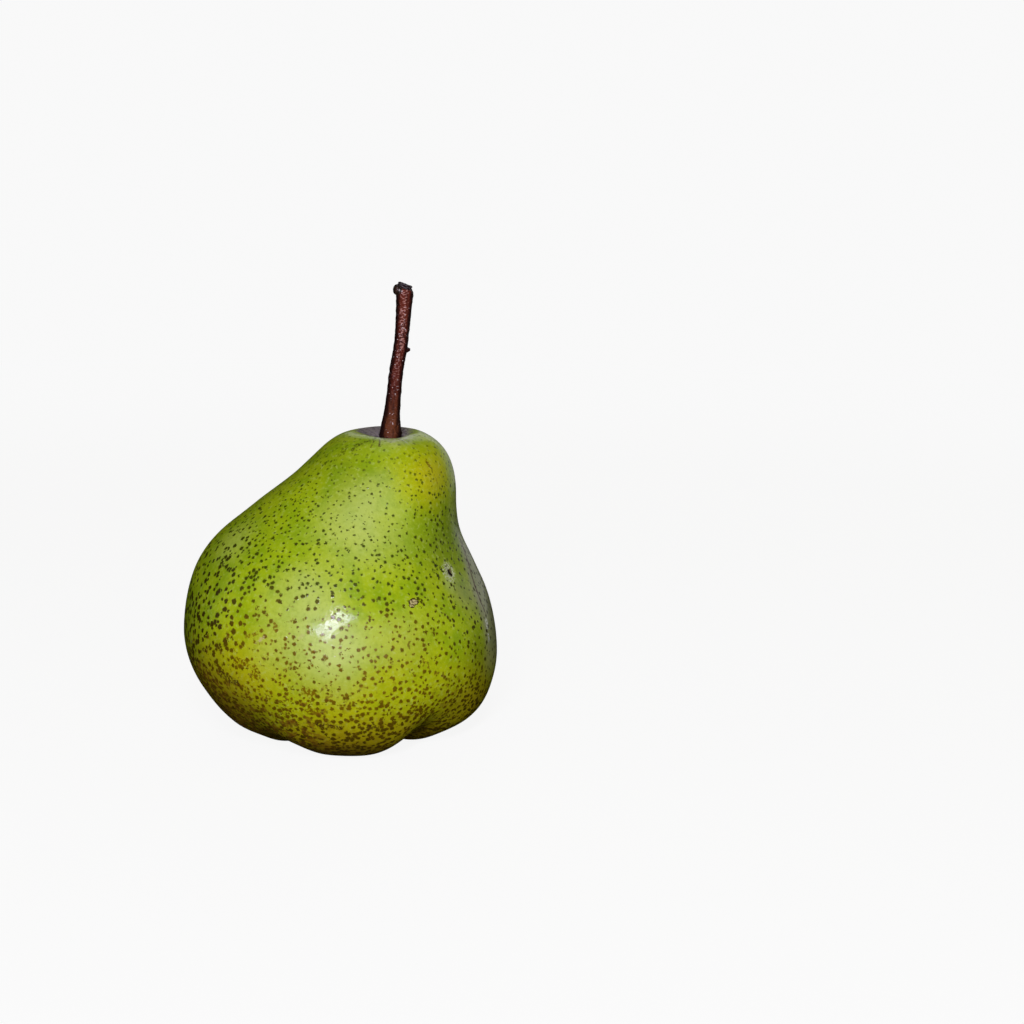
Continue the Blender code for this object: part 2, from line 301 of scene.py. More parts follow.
# Painted grey sheen for the right cheek.
GREY_SHEEN = (0.235, 0.225, 0.120, 1)
SOCKET_GREY = (0.195, 0.165, 0.135, 1)
RIM_SHEEN = (0.46, 0.46, 0.33, 1)
SOCKET_PALE = (0.19, 0.21, 0.075, 1)
CORK = (0.46, 0.39, 0.145, 1)
PALE_SCAR = (0.55, 0.58, 0.30, 1)
PAINTED_GLINT = (0.66, 0.68, 0.52, 1)
NEAR_BLACK = (0.012, 0.008, 0.004, 1)
SOCKET_DARK_AND_SHADE = (0.035, 0.024, 0.022, 1)
RIM_BROWN = (0.052, 0.034, 0.004, 1)

# Parts of the skin that differ from the rest: the middle of each, and how far it reaches.
SHEEN_CHEEK = ((0.038, -0.007, 0.038), 0.026)
LOW_LEFT = ((-0.031, -0.020, 0.009), 0.028)
LOW_RIGHT = ((0.036, -0.020, 0.007), 0.024)
LOW_FRONT = ((0.010, -0.034, 0.010), 0.022)
LEFT_SIDE = ((-0.040, -0.018, 0.038), 0.040)
RIGHT_SIDE = ((0.036, -0.020, 0.038), 0.036)
RIGHT_EDGE = ((0.038, -0.014, 0.036), 0.032)
LEFT_SHOULDER = ((-0.038, -0.008, 0.046), 0.028)
NECK_FRONT = ((0.006, -0.024, 0.064), 0.024)
BRUISE_FLECKS = ((0.0259, -0.0172, 0.0450), 0.0036)
BRUISE_MIDDLE = (tuple(BRUISE), 0.0015)
SCAB_SIDE = (tuple(SCAB), 0.012)  # keeps the scab off the back of the fruit
SOCKET = ((0.0108, 0.0028, 0.0762), 0.0116)
SOCKET_FRONT = ((0.0130, -0.0055, 0.0764), 0.0075)
STALK_FOOT = ((0.0119, 0.0010, 0.0752), 0.0050)
CALYX_PIT = ((0.0016, 0.0, 0.004), 0.017)

# The heights where the skin changes: where each change starts, and where it is complete.
CROWDED_HEIGHTS = (0.030, 0.004)
BRONZE_HEIGHTS = (0.019, 0.002)
SHADED_HEIGHTS = (0.0075, 0.0010)
BROWN_DOT_HEIGHTS = (0.046, 0.034)
LARGE_DOT_HEIGHTS = (0.066, 0.038)
EXTRA_DOT_HEIGHTS = (0.046, 0.062)
FAINT_DOT_HEIGHTS = (0.062, 0.074)

# How edges wander: the pitch of the wandering, and its reach.
DRIFT = (0.014, 0.010)
RAGGED_EDGE = (0.00055, 0.00082)
TORN_EDGE = (0.0011, 0.0012)
SHEEN_EDGE = (0.002, 0.0012)
SCRATCH_EDGE = (0.0016, 0.0008)
SOCKET_EDGES = ((0.0030, 0.0020), (0.0009, 0.0014))

MOTTLE_PITCH = 0.0050
SPECKLE_PITCH = 0.0009
FLAKE_PITCH = 0.0021
FINE_FLAKE_PITCH = 0.0007
BREAK_PITCH = 0.0005
FLECK_PITCH = 0.00042
GRAIN_PITCH = 0.00062
GRAIN_DEPTH = 0.000031
DOT_RISE = 0.00003

# The lenticels lie in four layers. A layer's shift sets its dots apart from those of the first.
DOT_SPACING = 0.0018
SMALL_SPACING = 0.0014
MORE_SHIFT = Vector((0.0031, 0.0047, 0.0017))
SMALL_SHIFT = Vector((-0.0052, 0.0023, 0.0038))
CROWD_SHIFT = Vector((0.0012, -0.0064, 0.0029))
DOT_RADII = (0.00047, 0.00056)  # on the neck, and low down
DOT_SIZES = (0.70, 1.16)  # the smallest and the largest, as shares of the radius
SHRINK_DEPTH = 0.32  # a seed deeper than this, in spacings, grows into a smaller dot
GONE_DEPTH = 0.40  # and one deeper than this into none
DOT_SHARE = 0.97  # the share of the seeds that grow into a dot
DOT_EDGE = 0.00027  # how wide the soft edge of a dot is
SMALL_EDGE = 0.00026
CROWD_EDGE = 0.00030
MORE_GAP = 0.00122  # the least between the seeds of the second layer and the first
SMALL_GAP = 0.0008  # and of a later layer and the first two

SCRATCH = (
    (0.0296, -0.0041, 0.0504), (0.0314, -0.0066, 0.0450), (0.0328, -0.0096, 0.0400),
    (0.0342, -0.0115, 0.0364), (0.0351, -0.0118, 0.0340),
)
SCRATCH_WIDTH = 0.0012
ACROSS_SCRATCH = (0.47, 0.83, -0.28)  # along the skin, towards the back
BEHIND_SCRATCH = (-0.0048, 0.0010)  # how far across it the painted grey sheen starts, and is complete
NICK_RUN = Vector((0.0004, 0.0002, -0.0004))
NICK_WIDTH = 0.0012
SCAB_HALF_WIDTH = 0.00155
SCAB_HALF_HEIGHT = 0.00108
SCAB_CRACK_PITCH = 0.0009
SCAB_CRACK_SLANT = 1.4
SOCKET_SIDE = (0.0150, 0.0185)  # how far right the socket's grey starts to thin, and stops

# Where the ground colour changes: colour, how much of it, middle and reach. The pale green patches on the
# left shoulder, on the neck and round the belly's highlight are painted sheen; the small one by the bruise
# is the skin's own colour.
PATCHES = (
    (LEAF_GREEN, 0.45, (-0.030, -0.018, 0.052), 0.022),
    (LEAF_GREEN, 0.75, (0.022, -0.018, 0.056), 0.014),
    (LEAF_GREEN, 0.60, (-0.012, 0.030, 0.045), 0.036),
    (DEEP_GREEN, 0.65, (-0.040, -0.006, 0.030), 0.022),
    (DEEP_GREEN, 0.65, (0.037, -0.004, 0.036), 0.020),
    (DEEP_GREEN, 0.80, (0.026, -0.012, 0.053), 0.017),
    (DEEP_GREEN, 0.50, (0.002, -0.014, 0.071), 0.018),
    (LEAF_GREEN, 0.45, (-0.014, -0.022, 0.058), 0.016),
    (DEEP_GREEN, 0.60, (0.035, -0.018, 0.016), 0.016),
    (PALE_AND_SHEEN_GREEN, 0.50, (-0.027, -0.015, 0.055), 0.011),
    (YELLOW_GREEN, 0.90, (0.0205, -0.0140, 0.068), 0.0130),
    (GOLD, 0.50, (0.0235, -0.011, 0.068), 0.009),
    (YELLOW_GREEN, 0.90, (-0.022, -0.031, 0.024), 0.019),
    (YELLOW_GREEN, 0.90, (0.000, -0.037, 0.014), 0.024),
    (YELLOW_GREEN, 0.70, (0.024, -0.030, 0.014), 0.018),
    (YELLOW_GREEN, 0.60, (0.022, 0.028, 0.022), 0.026),
    (PALE_AND_SHEEN_GREEN, 0.70, (0.004, -0.024, 0.059), 0.017),
    (PALE_AND_SHEEN_GREEN, 0.70, (-0.009, -0.034, 0.043), 0.013),
    (PALE_AND_SHEEN_GREEN, 0.90, (-0.003, -0.038, 0.031), 0.015),
    (PALE_AND_SHEEN_GREEN, 0.30, (0.012, -0.009, 0.0757), 0.006),
    (PALE_AND_SHEEN_GREEN, 0.35, (0.015, -0.034, 0.033), 0.011),
    (PALE_AND_SHEEN_GREEN, 0.35, (-0.014, -0.035, 0.032), 0.012),
    (PALE_AND_SHEEN_GREEN, 0.40, (0.006, -0.018, 0.064), 0.008),
    (LEAF_GREEN, 0.30, (0.008, -0.012, 0.0732), 0.007),
    (YELLOW_GREEN, 0.45, (0.016, -0.034, 0.028), 0.015),
    (YELLOW_GREEN, 0.30, (0.009, -0.036, 0.023), 0.010),
    # Painted grey sheen, like that behind the scratch.
    (GREY_SHEEN, 0.45, (0.0325, -0.0165, 0.0385), 0.010),
    (DEEP_GREEN, 0.80, (0.0345, -0.020, 0.026), 0.009),
    (PALE_AND_SHEEN_GREEN, 0.55, (0.0268, -0.0180, 0.0415), 0.0045),
)

# Short dark or pale lines: colour, how much of it, start, end and width.
STROKES = (
    (DARK_DOT, 0.80, (0.0351, -0.0118, 0.0342), (0.0356, -0.0122, 0.0328), 0.0016),
    (DARK_RUSSET_AND_SHADE, 0.90, (0.0096, -0.0073, 0.0764), (0.0090, -0.0107, 0.0752), 0.0009),
    (DARK_RUSSET_AND_SHADE, 0.90, (0.0082, -0.0074, 0.0764), (0.0071, -0.0109, 0.0747), 0.0009),
    (DARK_DOT, 0.75, (0.0069, -0.0084, 0.0761), (0.0050, -0.0092, 0.0753), 0.0016),
    (DARK_DOT, 0.70, (0.0042, -0.0088, 0.0752), (0.0025, -0.0098, 0.0738), 0.0018),
    (DARK_DOT, 0.60, (0.0010, -0.0085, 0.0740), (-0.0006, -0.0095, 0.0728), 0.0016),
    (BROWN_DOT, 0.90, (0.0206, -0.0113, 0.0713), (0.0214, -0.0115, 0.0699), 0.0010),
    (DARK_DOT, 0.85, (0.0215, -0.0115, 0.0697), (0.0218, -0.0116, 0.0690), 0.0011),
    (BROWN_DOT, 0.60, (0.0228, -0.0117, 0.0670), (0.0233, -0.0118, 0.0660), 0.0009),
    (NEAR_BLACK, 0.95, (0.0226, -0.0199, 0.0475), (0.0228, -0.0198, 0.0472), 0.0017),
    (NEAR_BLACK, 0.95, (0.0237, -0.0193, 0.0465), (0.0239, -0.0192, 0.0461), 0.0017),
    (NEAR_BLACK, 0.95, (0.0223, -0.0215, 0.0463), (0.0226, -0.0214, 0.0460), 0.0017),
    (NEAR_BLACK, 0.95, (0.0231, -0.0213, 0.0451), (0.0234, -0.0212, 0.0447), 0.0016),
    (BROWN_DOT, 0.80, (-0.0222, -0.0322, 0.0330), (-0.0200, -0.0331, 0.0338), 0.0018),
    (CORK, 0.90, (-0.0200, -0.0331, 0.0316), (-0.0192, -0.0333, 0.0326), 0.0012),
    (CORK, 0.90, (-0.0190, -0.0333, 0.0322), (-0.0180, -0.0336, 0.0331), 0.0011),
    (BROWN_DOT, 0.70, (-0.0206, -0.0329, 0.0318), (-0.0188, -0.0334, 0.0316), 0.0014),
    (BROWN_DOT, 0.95, (-0.0248, -0.0305, 0.0266), (-0.0226, -0.0318, 0.0262), 0.0029),
    (BROWN_DOT, 0.95, (-0.0207, -0.0328, 0.0257), (-0.0198, -0.0330, 0.0234), 0.0031),
    (DARK_RUSSET_AND_SHADE, 0.85, (-0.0286, -0.0268, 0.0225), (-0.0249, -0.0293, 0.0209), 0.0036),
    (BROWN_DOT, 0.90, (-0.0155, -0.0337, 0.0365), (-0.0153, -0.0342, 0.0348), 0.0017),
    (BROWN_DOT, 0.95, (-0.0087, -0.0369, 0.0210), (-0.0069, -0.0372, 0.0203), 0.0036),
    (BROWN_DOT, 0.95, (-0.0078, -0.0358, 0.0158), (-0.0062, -0.0362, 0.0156), 0.0029),
    (DARK_RUSSET_AND_SHADE, 0.85, (-0.0055, -0.0349, 0.0121), (-0.0008, -0.0353, 0.0117), 0.0022),
    (DARK_RUSSET_AND_SHADE, 0.85, (0.0065, -0.0351, 0.0115), (0.0079, -0.0348, 0.0114), 0.0026),
    (CORK, 0.40, (-0.0097, -0.0359, 0.0334), (-0.0088, -0.0360, 0.0343), 0.0012),
    (PALE_SCAR, 0.80, (-0.0364, -0.0165, 0.0287), (-0.0362, -0.0165, 0.0277), 0.0007),
    # Two painted glints on the right edge.
    (PAINTED_GLINT, 0.75, (0.0354, -0.0131, 0.0318), (0.0356, -0.0136, 0.0306), 0.0024),
    (PAINTED_GLINT, 0.60, (0.0360, -0.0144, 0.0284), (0.0362, -0.0146, 0.0270), 0.0018),
)


def seeds(finish, place, spacing):
    """The point nearest to each place, of points strewn through space, and its chances."""
    cells = finish.tree.nodes.new("ShaderNodeTexVoronoi")
    finish.feed(cells.inputs["Vector"], place)
    finish.feed(cells.inputs["Scale"], 1 / spacing)
    chances = finish.tree.nodes.new("ShaderNodeSeparateColor")
    finish.feed(chances.inputs["Color"], cells.outputs["Color"])
    return cells.outputs["Position"], chances.outputs


def lenticels(finish, place, spacing, radius, softness, share, clear_of=()):
    """Dots spread over the skin, a share of them left in: how much of a dot is there, and its chances.

    Each is a seed close to the skin. It is left out where it comes too near a seed of another layer:
    those are given as how much this layer is shifted from it, its spacing, and the gap to keep.
    """
    seed, chance = seeds(finish, place, spacing)
    offset = finish.vector("SUBTRACT", place, seed)
    sideways = finish.along_skin(offset)
    buried = finish.length(finish.vector("SUBTRACT", offset, sideways))
    kept = finish.math("LESS_THAN", chance[1], share)
    for shift, other_spacing, gap in clear_of:
        shifted = finish.vector("SUBTRACT", seed, shift)
        other_seed = seeds(finish, shifted, other_spacing)[0]
        between = finish.length(finish.vector("SUBTRACT", shifted, other_seed))
        kept = finish.times(kept, finish.math("GREATER_THAN", between, gap))
    size = finish.times(radius, finish.ramp(chance[0], 0.0, 1.0, *DOT_SIZES))
    size = finish.less(size, finish.ramp(buried, SHRINK_DEPTH * spacing, GONE_DEPTH * spacing, high=spacing))
    reach = finish.times(finish.less(size, finish.length(sideways)), 1 / softness)
    return finish.times(finish.node("ShaderNodeClamp", {0: reach}), kept), chance


peel = Finish("pear_skin")
drifting = peel.wandering(peel.place, *DRIFT)
height = peel.axis(drifting, "Z")
mottle = peel.noise(peel.place, MOTTLE_PITCH, detail=4.0)
ground = peel.mix(peel.ramp(mottle, 0.30, 0.62), LEAF_GREEN, GREEN)
for colour, share, middle, reach in PATCHES:
    amount = peel.times(peel.near(drifting, middle, reach), share)
    ground = peel.mix(amount, ground, colour)
speckle = peel.noise(peel.place, SPECKLE_PITCH, detail=3.0)
ground = peel.mix(peel.ramp(speckle, 0.50, 0.28, high=0.25), ground, DEEP_GREEN)
ground = peel.mix(peel.ramp(speckle, 0.52, 0.74, high=0.38), ground, PALE_AND_SHEEN_GREEN)

# The cheek behind the long scratch gets a painted grey sheen, a painted reflection along the right edge.
from_scratch = peel.vector("SUBTRACT", peel.wandering(peel.place, *SHEEN_EDGE), SCRATCH[0])
behind = peel.ramp(peel.dot(from_scratch, ACROSS_SCRATCH), *BEHIND_SCRATCH)
painted_sheen = peel.times(behind, peel.near(drifting, *SHEEN_CHEEK))
ground = peel.mix(peel.ramp(painted_sheen, 0.0, 0.5, high=0.65), ground, GREY_SHEEN)

# Low down, and most of all at the left, the dots crowd and the ground turns bronze.
low = peel.ramp(height, *CROWDED_HEIGHTS)
low_left = peel.near(drifting, *LOW_LEFT)
low_right = peel.near(drifting, *LOW_RIGHT)
crowded = peel.most(low, low_left)
bronzed = peel.most(peel.ramp(height, *BRONZE_HEIGHTS), peel.times(low_left, 1.1), low_right)
ground = peel.mix(peel.times(bronzed, 0.80), ground, BRONZE)
still_green = peel.most(peel.near(drifting, *RIGHT_SIDE), peel.near(drifting, *LEFT_SHOULDER))
browned = peel.times(peel.ramp(height, *BROWN_DOT_HEIGHTS), peel.less(1.0, still_green))
browned = peel.most(browned, low)

# The lenticels. The dots of a later layer keep clear of the first two layers.
ragged = peel.wandering(peel.place, *RAGGED_EDGE)
neck_front = peel.near(drifting, *NECK_FRONT)
left_side = peel.near(drifting, *LEFT_SIDE)
swollen = peel.most(left_side, peel.times(crowded, 0.45))
dot_radius = peel.ramp(height, *LARGE_DOT_HEIGHTS, *DOT_RADII)
dot_radius = peel.times(dot_radius, peel.ramp(swollen, 0.0, 0.7, 1.0, 1.34))
dot_radius = peel.times(dot_radius, peel.ramp(neck_front, 0.0, 1.0, 1.0, 0.80))
dots, dot_chance = lenticels(peel, ragged, DOT_SPACING, dot_radius, DOT_EDGE, DOT_SHARE)

more_place = peel.vector("ADD", ragged, MORE_SHIFT)
more_radius = peel.times(dot_radius, 0.92)
more_share = peel.ramp(left_side, 0.25, 0.75, DOT_SHARE, 0.60)
more_clear = ((MORE_SHIFT, DOT_SPACING, MORE_GAP),)
more_dots = lenticels(peel, more_place, DOT_SPACING, more_radius, DOT_EDGE, more_share, more_clear)[0]
all_dots = peel.most(dots, more_dots)

small_radius = peel.times(dot_radius, peel.ramp(crowded, 0.0, 0.5, 0.78, 1.05))
small_share = peel.most(peel.ramp(crowded, 0.0, 0.4), peel.ramp(height, *EXTRA_DOT_HEIGHTS, 0.3, 0.9))
crowd_share = peel.ramp(crowded, 0.05, 0.75)
for shift, share, edge in ((SMALL_SHIFT, small_share, SMALL_EDGE), (CROWD_SHIFT, crowd_share, CROWD_EDGE)):
    layer_place = peel.vector("ADD", ragged, shift)
    clear_of = ((shift, DOT_SPACING, SMALL_GAP), (shift - MORE_SHIFT, DOT_SPACING, SMALL_GAP))
    layer = lenticels(peel, layer_place, SMALL_SPACING, small_radius, edge, share, clear_of)[0]
    all_dots = peel.most(all_dots, layer)

dot_tone = peel.mix(browned, OLIVE_DOT, BROWN_DOT)
dark_sides = peel.most(left_side, peel.times(crowded, 0.7), low_right, peel.near(drifting, *RIGHT_EDGE))
darker = peel.most(peel.times(dot_chance[2], 0.45), peel.ramp(dark_sides, 0.1, 0.90, high=0.92))
dot_tone = peel.mix(darker, dot_tone, DARK_DOT)
faint = peel.ramp(height, *FAINT_DOT_HEIGHTS, 1.0, 0.62)
skin_colour = peel.mix(peel.times(all_dots, faint), ground, dot_tone)

# Russet: flakes of cork, where the dots are brown. The foot of the fruit is darkened all over with painted
# shade.
fine_flakes = peel.noise(peel.place, FINE_FLAKE_PITCH, detail=3.0)
flakes = peel.noise(peel.place, FLAKE_PITCH, detail=5.0)
flakes = peel.add(flakes, peel.times(peel.less(fine_flakes, 0.5), 0.35))
russet = peel.ramp(peel.add(flakes, peel.times(crowded, 0.17)), 0.63, 0.71)
russet = peel.times(russet, peel.ramp(browned, 0.2, 0.8))
calm = peel.most(low_right, peel.near(drifting, *LOW_FRONT))
russet = peel.times(russet, peel.ramp(calm, 0.0, 0.50, 1.0, 0.25))
russet_tone = peel.mix(peel.ramp(fine_flakes, 0.42, 0.62, high=0.7), RUSSET, DARK_RUSSET_AND_SHADE)
skin_colour = peel.mix(peel.times(russet, 0.75), skin_colour, russet_tone)
# Painted shade: the foot, and more lightly the low left, are mixed towards dark russet.
shaded = peel.most(peel.ramp(height, *SHADED_HEIGHTS, high=0.60), peel.times(low_left, 0.30))
skin_colour = peel.mix(shaded, skin_colour, DARK_RUSSET_AND_SHADE)

# The short lines, torn at the edges and broken up, and the long scratch.
breaks = peel.ramp(peel.noise(peel.place, BREAK_PITCH), 0.44, 0.54, low=0.10)
torn = peel.wandering(ragged, *TORN_EDGE)
for colour, share, start, end, width in STROKES:
    line = peel.ramp(peel.stroke(torn, start, end, width), 0.10, 0.60, high=share)
    skin_colour = peel.mix(peel.times(line, breaks), skin_colour, colour)
scratch_place = peel.wandering(peel.place, *SCRATCH_EDGE)
for start, end in zip(SCRATCH, SCRATCH[1:]):
    line = peel.stroke(scratch_place, start, end, SCRATCH_WIDTH)
    skin_colour = peel.mix(peel.ramp(line, 0.15, 0.60, high=0.9), skin_colour, DARK_RUSSET_AND_SHADE)

# The bruise: a dark nick in a patch of fine pale flecks.
flecks = peel.near(torn, *BRUISE_FLECKS)
fleck_grain = peel.noise(peel.place, FLECK_PITCH, detail=1.0)
flecked = peel.ramp(peel.add(fleck_grain, peel.times(flecks, 0.20)), 0.54, 0.64)
flecked = peel.times(flecked, peel.ramp(flecks, 0.02, 0.30))
skin_colour = peel.mix(peel.times(flecked, 0.80), skin_colour, PALE_SCAR)
sunk = peel.near(torn, *BRUISE_MIDDLE)
skin_colour = peel.mix(peel.ramp(sunk, 0.05, 0.45, high=0.80), skin_colour, DARK_RUSSET_AND_SHADE)
nick = peel.stroke(torn, tuple(BRUISE - NICK_RUN), tuple(BRUISE + NICK_RUN), NICK_WIDTH)
skin_colour = peel.mix(peel.ramp(nick, 0.10, 0.35), skin_colour, NEAR_BLACK)

# The scab: cork with slanting cracks, inside a dark rim.
scab_place = peel.vector("SUBTRACT", torn, tuple(SCAB))
beside = peel.axis(scab_place, "X")
above = peel.axis(scab_place, "Z")
scab_across = peel.times(peel.math("ABSOLUTE", beside), 1 / SCAB_HALF_WIDTH)
scab_upright = peel.times(peel.math("ABSOLUTE", above), 1 / SCAB_HALF_HEIGHT)
scab_size = peel.add(scab_across, scab_upright)
slant = peel.add(beside, peel.times(above, SCAB_CRACK_SLANT))
cracks = peel.math("SINE", peel.times(slant, 2 * math.pi / SCAB_CRACK_PITCH))
scab_colour = peel.mix(peel.ramp(cracks, 0.1, 0.8), CORK, RIM_BROWN)
scab_colour = peel.mix(peel.ramp(scab_size, 0.68, 0.80), scab_colour, RIM_BROWN)
scab_side = peel.ramp(peel.near(torn, *SCAB_SIDE), 0.0, 0.10)
in_scab = peel.times(peel.ramp(scab_size, 1.05, 0.93), scab_side)
skin_colour = peel.mix(in_scab, skin_colour, scab_colour)

# The socket round the stalk, and the calyx pit.
socket_place = peel.place
for pitch, reach in SOCKET_EDGES:
    socket_place = peel.wandering(socket_place, pitch, reach)
in_socket = peel.near(socket_place, *SOCKET)
skin_colour = peel.mix(peel.ramp(in_socket, 0.05, 0.30, high=0.25), skin_colour, SOCKET_PALE)
thick = peel.ramp(peel.axis(socket_place, "X"), *SOCKET_SIDE, 1.0, 0.55)
skin_colour = peel.mix(peel.times(peel.ramp(in_socket, 0.20, 0.42), thick), skin_colour, SOCKET_GREY)
# Painted sheen on the front rim of the socket, broken up by the speckle.
rim_sheen = peel.ramp(peel.near(socket_place, *SOCKET_FRONT), 0.0, 0.60, high=0.55)
rim_sheen = peel.times(rim_sheen, peel.ramp(speckle, 0.40, 0.60, low=0.35))
skin_colour = peel.mix(rim_sheen, skin_colour, RIM_SHEEN)
pocks = peel.times(peel.ramp(speckle, 0.50, 0.62, high=0.6), peel.ramp(in_socket, 0.25, 0.45))
skin_colour = peel.mix(pocks, skin_colour, SOCKET_DARK_AND_SHADE)
# Painted shade: the skin close round the stalk's foot is darkened, where the stalk meets the fruit.
foot = peel.near(ragged, *STALK_FOOT)
skin_colour = peel.mix(peel.ramp(foot, 0.10, 0.40), skin_colour, SOCKET_DARK_AND_SHADE)
in_pit = peel.near(drifting, *CALYX_PIT)
skin_colour = peel.mix(peel.ramp(in_pit, 0.10, 0.60), skin_colour, RUSSET)
skin_colour = peel.mix(peel.ramp(in_pit, 0.45, 0.95), skin_colour, DARK_RUSSET_AND_SHADE)

# The wax shines, except where the skin is dotted, corky or dark. Its fine grain breaks up the shine.
dull = peel.most(peel.times(all_dots, 0.3), peel.times(russet, 0.7), peel.ramp(in_socket, 0.05, 0.30))
dull = peel.most(dull, in_scab, shaded)
grain = peel.bump(peel.noise(peel.place, GRAIN_PITCH, detail=3.0), GRAIN_DEPTH)
dotted = peel.bump(all_dots, DOT_RISE, normal=grain)
peel.set(Base_Color=skin_colour, Normal=dotted, Coat_Normal=dotted)
peel.set(Roughness=peel.ramp(dull, 0.0, 1.0, 0.45, 0.85), IOR=1.40, Specular_IOR_Level=0.12)
peel.set(Coat_Weight=peel.ramp(dull, 0.0, 1.0, 0.26, 0.02), Coat_Roughness=0.085, Coat_IOR=1.45)
peel.set(Subsurface_Weight=0.05, Subsurface_Radius=(0.8, 1.0, 0.2), Subsurface_Scale=0.002)


def dress(piece, finish):
    """Gives the piece that finish, smooth all over, in place of what it had."""
    piece.data.shade_smooth()
    piece.data.materials.clear()
    piece.data.materials.append(finish.material)


dress(skin, peel)
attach(skin, "root")
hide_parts("fruit")


# ---- Stalk ---------------------------------------------------------------------------------------
# The stalk is a thin woody stem that leans back and to the side. It flares where it grew out of the
# fruit, carries a small dead bud halfway up, and ends in a knob under the scar where it broke off its spur.

STALK_SIDES = 16

# Right, back, height and radius of each ring, from the foot to the neck of the knob.
STALK_RINGS = (
    (0.0119, 0.0010, 0.0736, 0.0020),
    (0.0119, 0.0010, 0.0747, 0.0027),
    (0.0121, 0.0010, 0.0763, 0.0029),
    (0.0122, 0.0010, 0.0777, 0.0027),
    (0.0122, 0.0010, 0.0795, 0.0023),
    (0.0125, 0.0010, 0.0824, 0.0020),
    (0.0128, 0.0010, 0.0855, 0.0019),
    (0.0131, 0.0010, 0.0890, 0.0018),
    (0.0135, 0.0011, 0.0925, 0.0018),
    (0.0141, 0.0012, 0.0958, 0.0018),
    (0.0147, 0.0014, 0.0990, 0.0018),
    (0.0149, 0.0016, 0.1020, 0.0018),
    (0.0151, 0.0019, 0.1050, 0.0019),
    (0.0153, 0.0022, 0.1078, 0.0020),
    (0.0154, 0.0024, 0.1098, 0.0022),
    (0.0155, 0.0025, 0.1113, 0.0022),
    (0.0155, 0.0026, 0.1124, 0.0017),
)

# The scar on top, in layers like a pile of scales.
SCAR_RINGS = (
    (0.0152, 0.0026, 0.1120, 0.0015),
    (0.0152, 0.0026, 0.1123, 0.0020),
    (0.0152, 0.0026, 0.1127, 0.0020),
    (0.0152, 0.0026, 0.1128, 0.0017),
    (0.0152, 0.0025, 0.1130, 0.0019),
    (0.0152, 0.0025, 0.1133, 0.0019),
    (0.0151, 0.0025, 0.1134, 0.0015),
)
SCAR_LEAN = math.radians(19)
SCAR_RIM = 0.0004
SCAR_DISH = 0.0003  # how far the middle of the scar is sunk
LOBE = Vector((0.0135, 0.0014, 0.1119))
LOBE_RADIUS = 0.0010
LOBE_STRETCH = 1.35
BUD = Vector((0.0162, 0.0012, 0.0972))
BUD_RADIUS = 0.0010
BUD_TIP_RADIUS = 0.0003
BUD_LENGTH = 0.0014
BARK_VOXEL = 0.00011
BARK_LUMPS = 0.00010
BARK_LUMP_PITCH = 0.0013
BARK_WRINKLES = 0.00005
BARK_WRINKLE_PITCH = 0.00050


def pull_up(rings, sides, name):
    """A closed rod, drawn up ring by ring from a disc. It is left in edit mode with its top selected."""
    right, back, height, radius = rings[0]
    bpy.ops.object.select_all(action="DESELECT")
    bpy.ops.mesh.primitive_circle_add(
        vertices=sides, radius=radius, fill_type="NGON", location=(right, back, height)
    )
    rod = bpy.context.object
    rod.name = name
    bpy.ops.object.transform_apply(location=True, rotation=True, scale=True)
    bpy.context.tool_settings.mesh_select_mode = (False, False, True)
    bpy.ops.object.mode_set(mode="EDIT")
    bpy.ops.mesh.select_all(action="SELECT")
    for before, after in zip(rings, rings[1:]):
        step = Vector(after[:3]) - Vector(before[:3])
        bpy.ops.mesh.extrude_region_move(TRANSFORM_OT_translate={"value": step})
        grow = after[3] / before[3]
        bpy.ops.transform.resize(value=(grow, grow, grow), center_override=after[:3])
    return rod


def close_up(piece):
    """Ends edit mode with all the piece's faces pointing outwards."""
    bpy.ops.mesh.select_all(action="SELECT")
    bpy.ops.mesh.normals_make_consistent(inside=False)
    bpy.ops.object.mode_set(mode="OBJECT")


def join(pieces, name):
    """Makes one piece of them all."""
    bpy.ops.object.select_all(action="DESELECT")
    for piece in pieces:
        piece.select_set(True)
    bpy.context.view_layer.objects.active = pieces[0]
    bpy.ops.object.join()
    pieces[0].name = name
    return pieces[0]


stem = pull_up(STALK_RINGS, STALK_SIDES, "stem")
close_up(stem)
subdivide(stem, 2)
scar = pull_up(SCAR_RINGS, STALK_SIDES, "scar")
bpy.ops.mesh.inset(thickness=SCAR_RIM, depth=-SCAR_DISH)
bpy.ops.mesh.select_all(action="SELECT")
bpy.ops.transform.rotate(value=-SCAR_LEAN, orient_axis="Y", center_override=SCAR_RINGS[0][:3])
close_up(scar)
bpy.ops.object.select_all(action="DESELECT")
bpy.ops.mesh.primitive_uv_sphere_add(segments=16, ring_count=10, radius=LOBE_RADIUS, location=LOBE)
lobe = bpy.context.object
bpy.ops.object.mode_set(mode="EDIT")
bpy.ops.transform.resize(value=(1.0, 1.0, LOBE_STRETCH))
bpy.ops.object.mode_set(mode="OBJECT")
bpy.ops.object.select_all(action="DESELECT")
bpy.ops.mesh.primitive_cone_add(
    vertices=12, radius1=BUD_RADIUS, radius2=BUD_TIP_RADIUS, depth=BUD_LENGTH, location=BUD,
    rotation=(0, math.radians(90), 0),
)
bud = bpy.context.object
stem = join([stem, scar, lobe, bud], "stem")
apply_modifier(stem, "grown_together", "REMESH", mode="VOXEL", voxel_size=BARK_VOXEL)
apply_modifier(stem, "softened", "SMOOTH", factor=0.5, iterations=2)
bark_mesh = bmesh.new()
bark_mesh.from_mesh(stem.data)
bark_mesh.normal_update()
